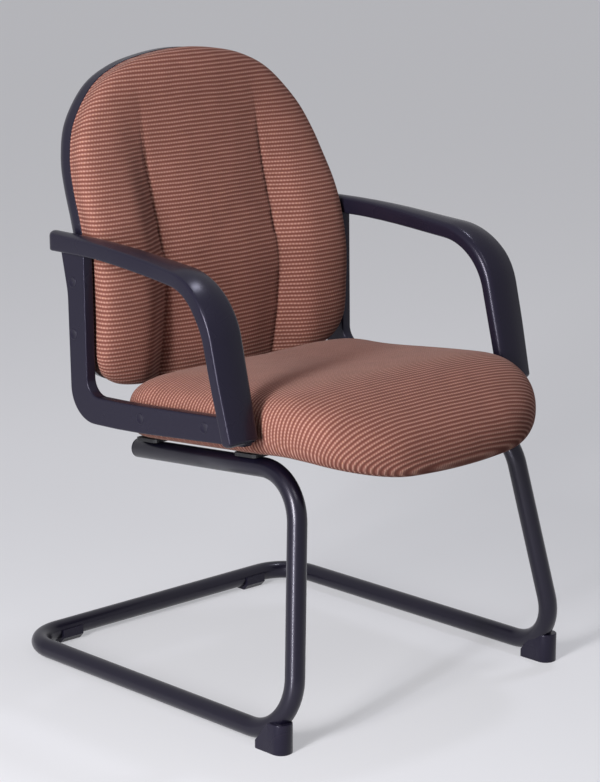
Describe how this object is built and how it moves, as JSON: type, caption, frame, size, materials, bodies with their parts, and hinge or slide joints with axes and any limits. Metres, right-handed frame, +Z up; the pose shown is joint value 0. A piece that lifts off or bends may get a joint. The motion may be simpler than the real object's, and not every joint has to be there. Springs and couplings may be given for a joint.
{
  "type": "sled base visitor chair",
  "caption": "Visitor chair on a bent tube sled base, with a padded seat, a domed padded back and one-piece loop arms.",
  "frame": {"origin": "middle of the chair's footprint, on the floor", "axes": "+X to the sitter's left, -Y ahead of the sitter, +Z up"},
  "size_m": [0.61, 0.6744, 0.9],
  "materials": {
    "black_tube": "gloss black coating",
    "black_plastic": "satin charcoal black",
    "fabric": "horizontally ribbed woven upholstery, rust and peach",
    "plywood": "raw plywood",
    "zinc_steel": "zinc plated",
    "black_steel": "black paint",
    "felt": "black nonwoven felt"
  },
  "bodies": {
    "root": {"arm_bolt_back_lower_left": "zinc_steel", "arm_bolt_back_lower_right": "zinc_steel", "arm_bolt_back_upper_left": "zinc_steel", "arm_bolt_back_upper_right": "zinc_steel", "arm_bolt_seat_front_left": "zinc_steel", "arm_bolt_seat_front_right": "zinc_steel", "arm_bolt_seat_rear_left": "zinc_steel", "arm_bolt_seat_rear_right": "zinc_steel", "arm_left": "black_plastic", "arm_right": "black_plastic", "back_block_left": "plywood", "back_block_right": "plywood", "back_board": "plywood", "back_cushion": "fabric", "back_shell": "black_plastic", "bolt_cap_back_lower_left": "black_plastic", "bolt_cap_back_lower_right": "black_plastic", "bolt_cap_back_upper_left": "black_plastic", "bolt_cap_back_upper_right": "black_plastic", "bolt_cap_seat_front_left": "black_plastic", "bolt_cap_seat_front_right": "black_plastic", "bolt_cap_seat_rear_left": "black_plastic", "bolt_cap_seat_rear_right": "black_plastic", "cross_plate_front": "black_steel", "cross_plate_rear": "black_steel", "foot_screw_left": "zinc_steel", "foot_screw_right": "zinc_steel", "front_foot_left": "black_plastic", "front_foot_right": "black_plastic", "rear_glide_left": "black_plastic", "rear_glide_right": "black_plastic", "seat_board": "plywood", "seat_bolt_front_left": "zinc_steel", "seat_bolt_front_right": "zinc_steel", "seat_bolt_rear_left": "zinc_steel", "seat_bolt_rear_right": "zinc_steel", "seat_cushion": "fabric", "seat_dust_cover": "felt", "seat_side_rail_left": "plywood", "seat_side_rail_right": "plywood", "shell_screw_lower_left": "zinc_steel", "shell_screw_lower_right": "zinc_steel", "shell_screw_upper_left": "zinc_steel", "shell_screw_upper_right": "zinc_steel", "sled_frame": "black_tube", "spacer_back_lower_left": "zinc_steel", "spacer_back_lower_right": "zinc_steel", "spacer_back_upper_left": "zinc_steel", "spacer_back_upper_right": "zinc_steel", "spacer_seat_front_left": "zinc_steel", "spacer_seat_front_right": "zinc_steel", "spacer_seat_rear_left": "zinc_steel", "spacer_seat_rear_right": "zinc_steel", "tee_nut_front_left": "zinc_steel", "tee_nut_front_right": "zinc_steel", "tee_nut_rear_left": "zinc_steel", "tee_nut_rear_right": "zinc_steel", "tube_plug_left": "black_plastic", "tube_plug_right": "black_plastic"}
  },
  "joints": []
}
